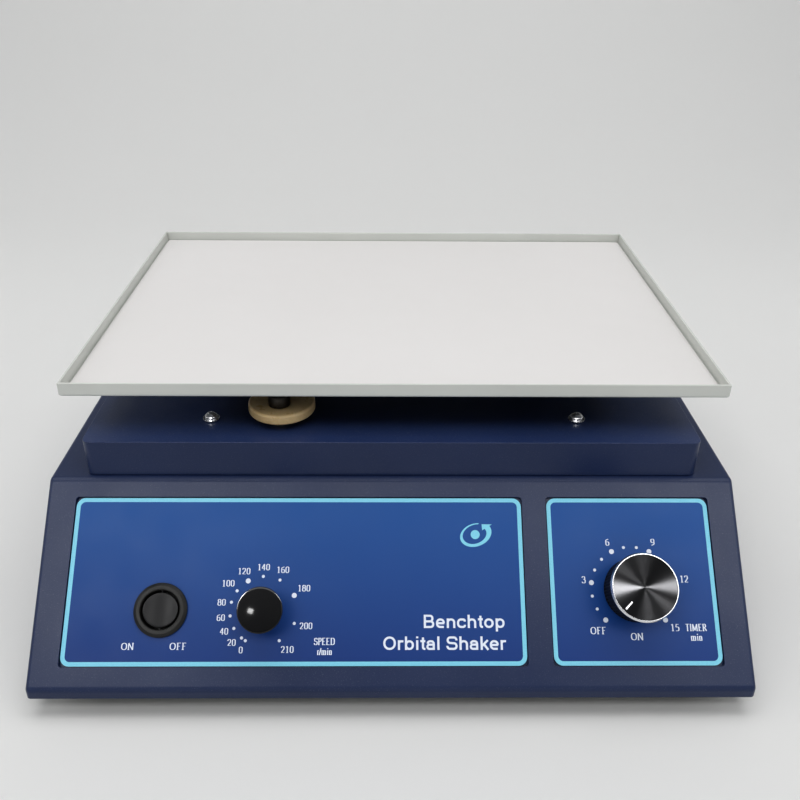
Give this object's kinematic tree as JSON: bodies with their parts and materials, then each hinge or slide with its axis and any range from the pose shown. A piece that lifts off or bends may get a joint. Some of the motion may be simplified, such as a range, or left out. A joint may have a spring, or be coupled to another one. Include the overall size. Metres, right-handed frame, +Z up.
{
  "type": "orbital shaker",
  "caption": "Laboratory orbital shaker: folded sheet-metal console with sloped control panels, speed and timer dials, a round rocker switch, and a shallow tray carried on eccentric cranks.",
  "frame": {"origin": "on the floor under the middle of the console", "axes": "+X to the right of the control panel, +Y away from the operator, +Z up"},
  "size_m": [0.321, 0.2839, 0.1288],
  "materials": {
    "navy_paint": "satin powder coat",
    "zinc_plate": "zinc plated",
    "rubber": "matte",
    "panel_film": "printed satin film",
    "black_plastic": "moulded",
    "gloss_black": "gloss",
    "black_metal": "black oxide",
    "bright_screw": "nickel plated",
    "tan_nylon": "cast nylon",
    "tray_paint": "satin",
    "mat_white": "smooth",
    "board": "solder mask",
    "steel": "machined"
  },
  "bodies": {
    "base": {"upper_housing": "navy_paint", "deck_cover": "navy_paint", "deck_screw_fl": "bright_screw", "deck_screw_fr": "bright_screw", "deck_screw_rl": "bright_screw", "deck_screw_rr": "bright_screw", "base_plate": "zinc_plate", "foot_fl": "rubber", "foot_fr": "rubber", "foot_rl": "rubber", "foot_rr": "rubber", "label_left": "panel_film", "label_right": "panel_film", "control_plate_left": "navy_paint", "control_plate_right": "navy_paint", "switch_body": "black_plastic", "potentiometer": "steel", "timer_body": "black_plastic", "control_board": "board", "mechanism_plate": "zinc_plate", "bearing_housing_drive": "steel", "bearing_housing_front": "steel", "bearing_housing_rear": "steel", "drive_belt": "rubber", "gearmotor": "steel", "power_inlet": "black_plastic", "fuse_holder": "black_plastic"},
    "drive_crank": {"crank_shaft_drive": "steel", "crank_wheel_drive": "tan_nylon", "crank_bolt_drive": "black_metal", "crank_pin_drive": "steel", "drive_pulley": "steel", "counterweight": "black_metal"},
    "front_crank": {"crank_shaft_front": "steel", "crank_wheel_front": "tan_nylon", "crank_bolt_front": "black_metal", "crank_pin_front": "steel"},
    "rear_crank": {"crank_shaft_rear": "steel", "crank_wheel_rear": "tan_nylon", "crank_bolt_rear": "black_metal", "crank_pin_rear": "steel"},
    "motor_rotor": {"motor_shaft": "steel", "motor_pulley": "steel"},
    "tray": {"tray_pan": "tray_paint", "tray_mat": "mat_white", "tray_carrier": "zinc_plate", "pin_bearing_drive": "steel", "pin_bearing_front": "steel", "pin_bearing_rear": "steel"},
    "rocker": {"power_rocker": "black_plastic"},
    "speed_dial": {"speed_knob": "gloss_black", "potentiometer_shaft": "steel"},
    "timer_dial": {"timer_knob": "black_plastic", "timer_knob_cap": "black_metal", "timer_pointer": "steel", "timer_shaft": "steel"}
  },
  "joints": [
    {"name": "crank_drive", "type": "hinge", "parent": "base", "child": "drive_crank", "pos_m": [0.08, 0.0237, 0.09], "axis": [0, 0, 1], "continuous": true},
    {"name": "tray_orbit", "type": "hinge", "parent": "drive_crank", "child": "tray", "pos_m": [0.08113, 0.03364, 0.117], "axis": [0, 0, 1], "continuous": true},
    {"name": "front_crank_turn", "type": "hinge", "parent": "base", "child": "front_crank", "pos_m": [-0.054, -0.0517, 0.09], "axis": [0, 0, 1], "continuous": true},
    {"name": "rear_crank_turn", "type": "hinge", "parent": "base", "child": "rear_crank", "pos_m": [-0.054, 0.0991, 0.09], "axis": [0, 0, 1], "continuous": true},
    {"name": "motor_spin", "type": "hinge", "parent": "base", "child": "motor_rotor", "pos_m": [-0.008, 0.0237, 0.082], "axis": [0, 0, 1], "continuous": true},
    {"name": "rocker_tilt", "type": "hinge", "parent": "base", "child": "rocker", "pos_m": [-0.104, -0.11692, 0.03815], "axis": [0, -0.7234, -0.6905], "range_deg": [0, 20]},
    {"name": "speed_turn", "type": "hinge", "parent": "base", "child": "speed_dial", "pos_m": [-0.0581, -0.12115, 0.04172], "axis": [0, 0.6905, -0.7234], "range_deg": [0, 300]},
    {"name": "timer_turn", "type": "hinge", "parent": "base", "child": "timer_dial", "pos_m": [0.1096, -0.11449, 0.04807], "axis": [0, 0.6905, -0.7234], "range_deg": [-45, 270]}
  ],
  "couplings": [
    {"joint": "tray_orbit", "follows": "crank_drive", "ratio": -1},
    {"joint": "front_crank_turn", "follows": "crank_drive", "ratio": 1},
    {"joint": "rear_crank_turn", "follows": "crank_drive", "ratio": 1},
    {"joint": "motor_spin", "follows": "crank_drive", "ratio": 2.2857}
  ]
}
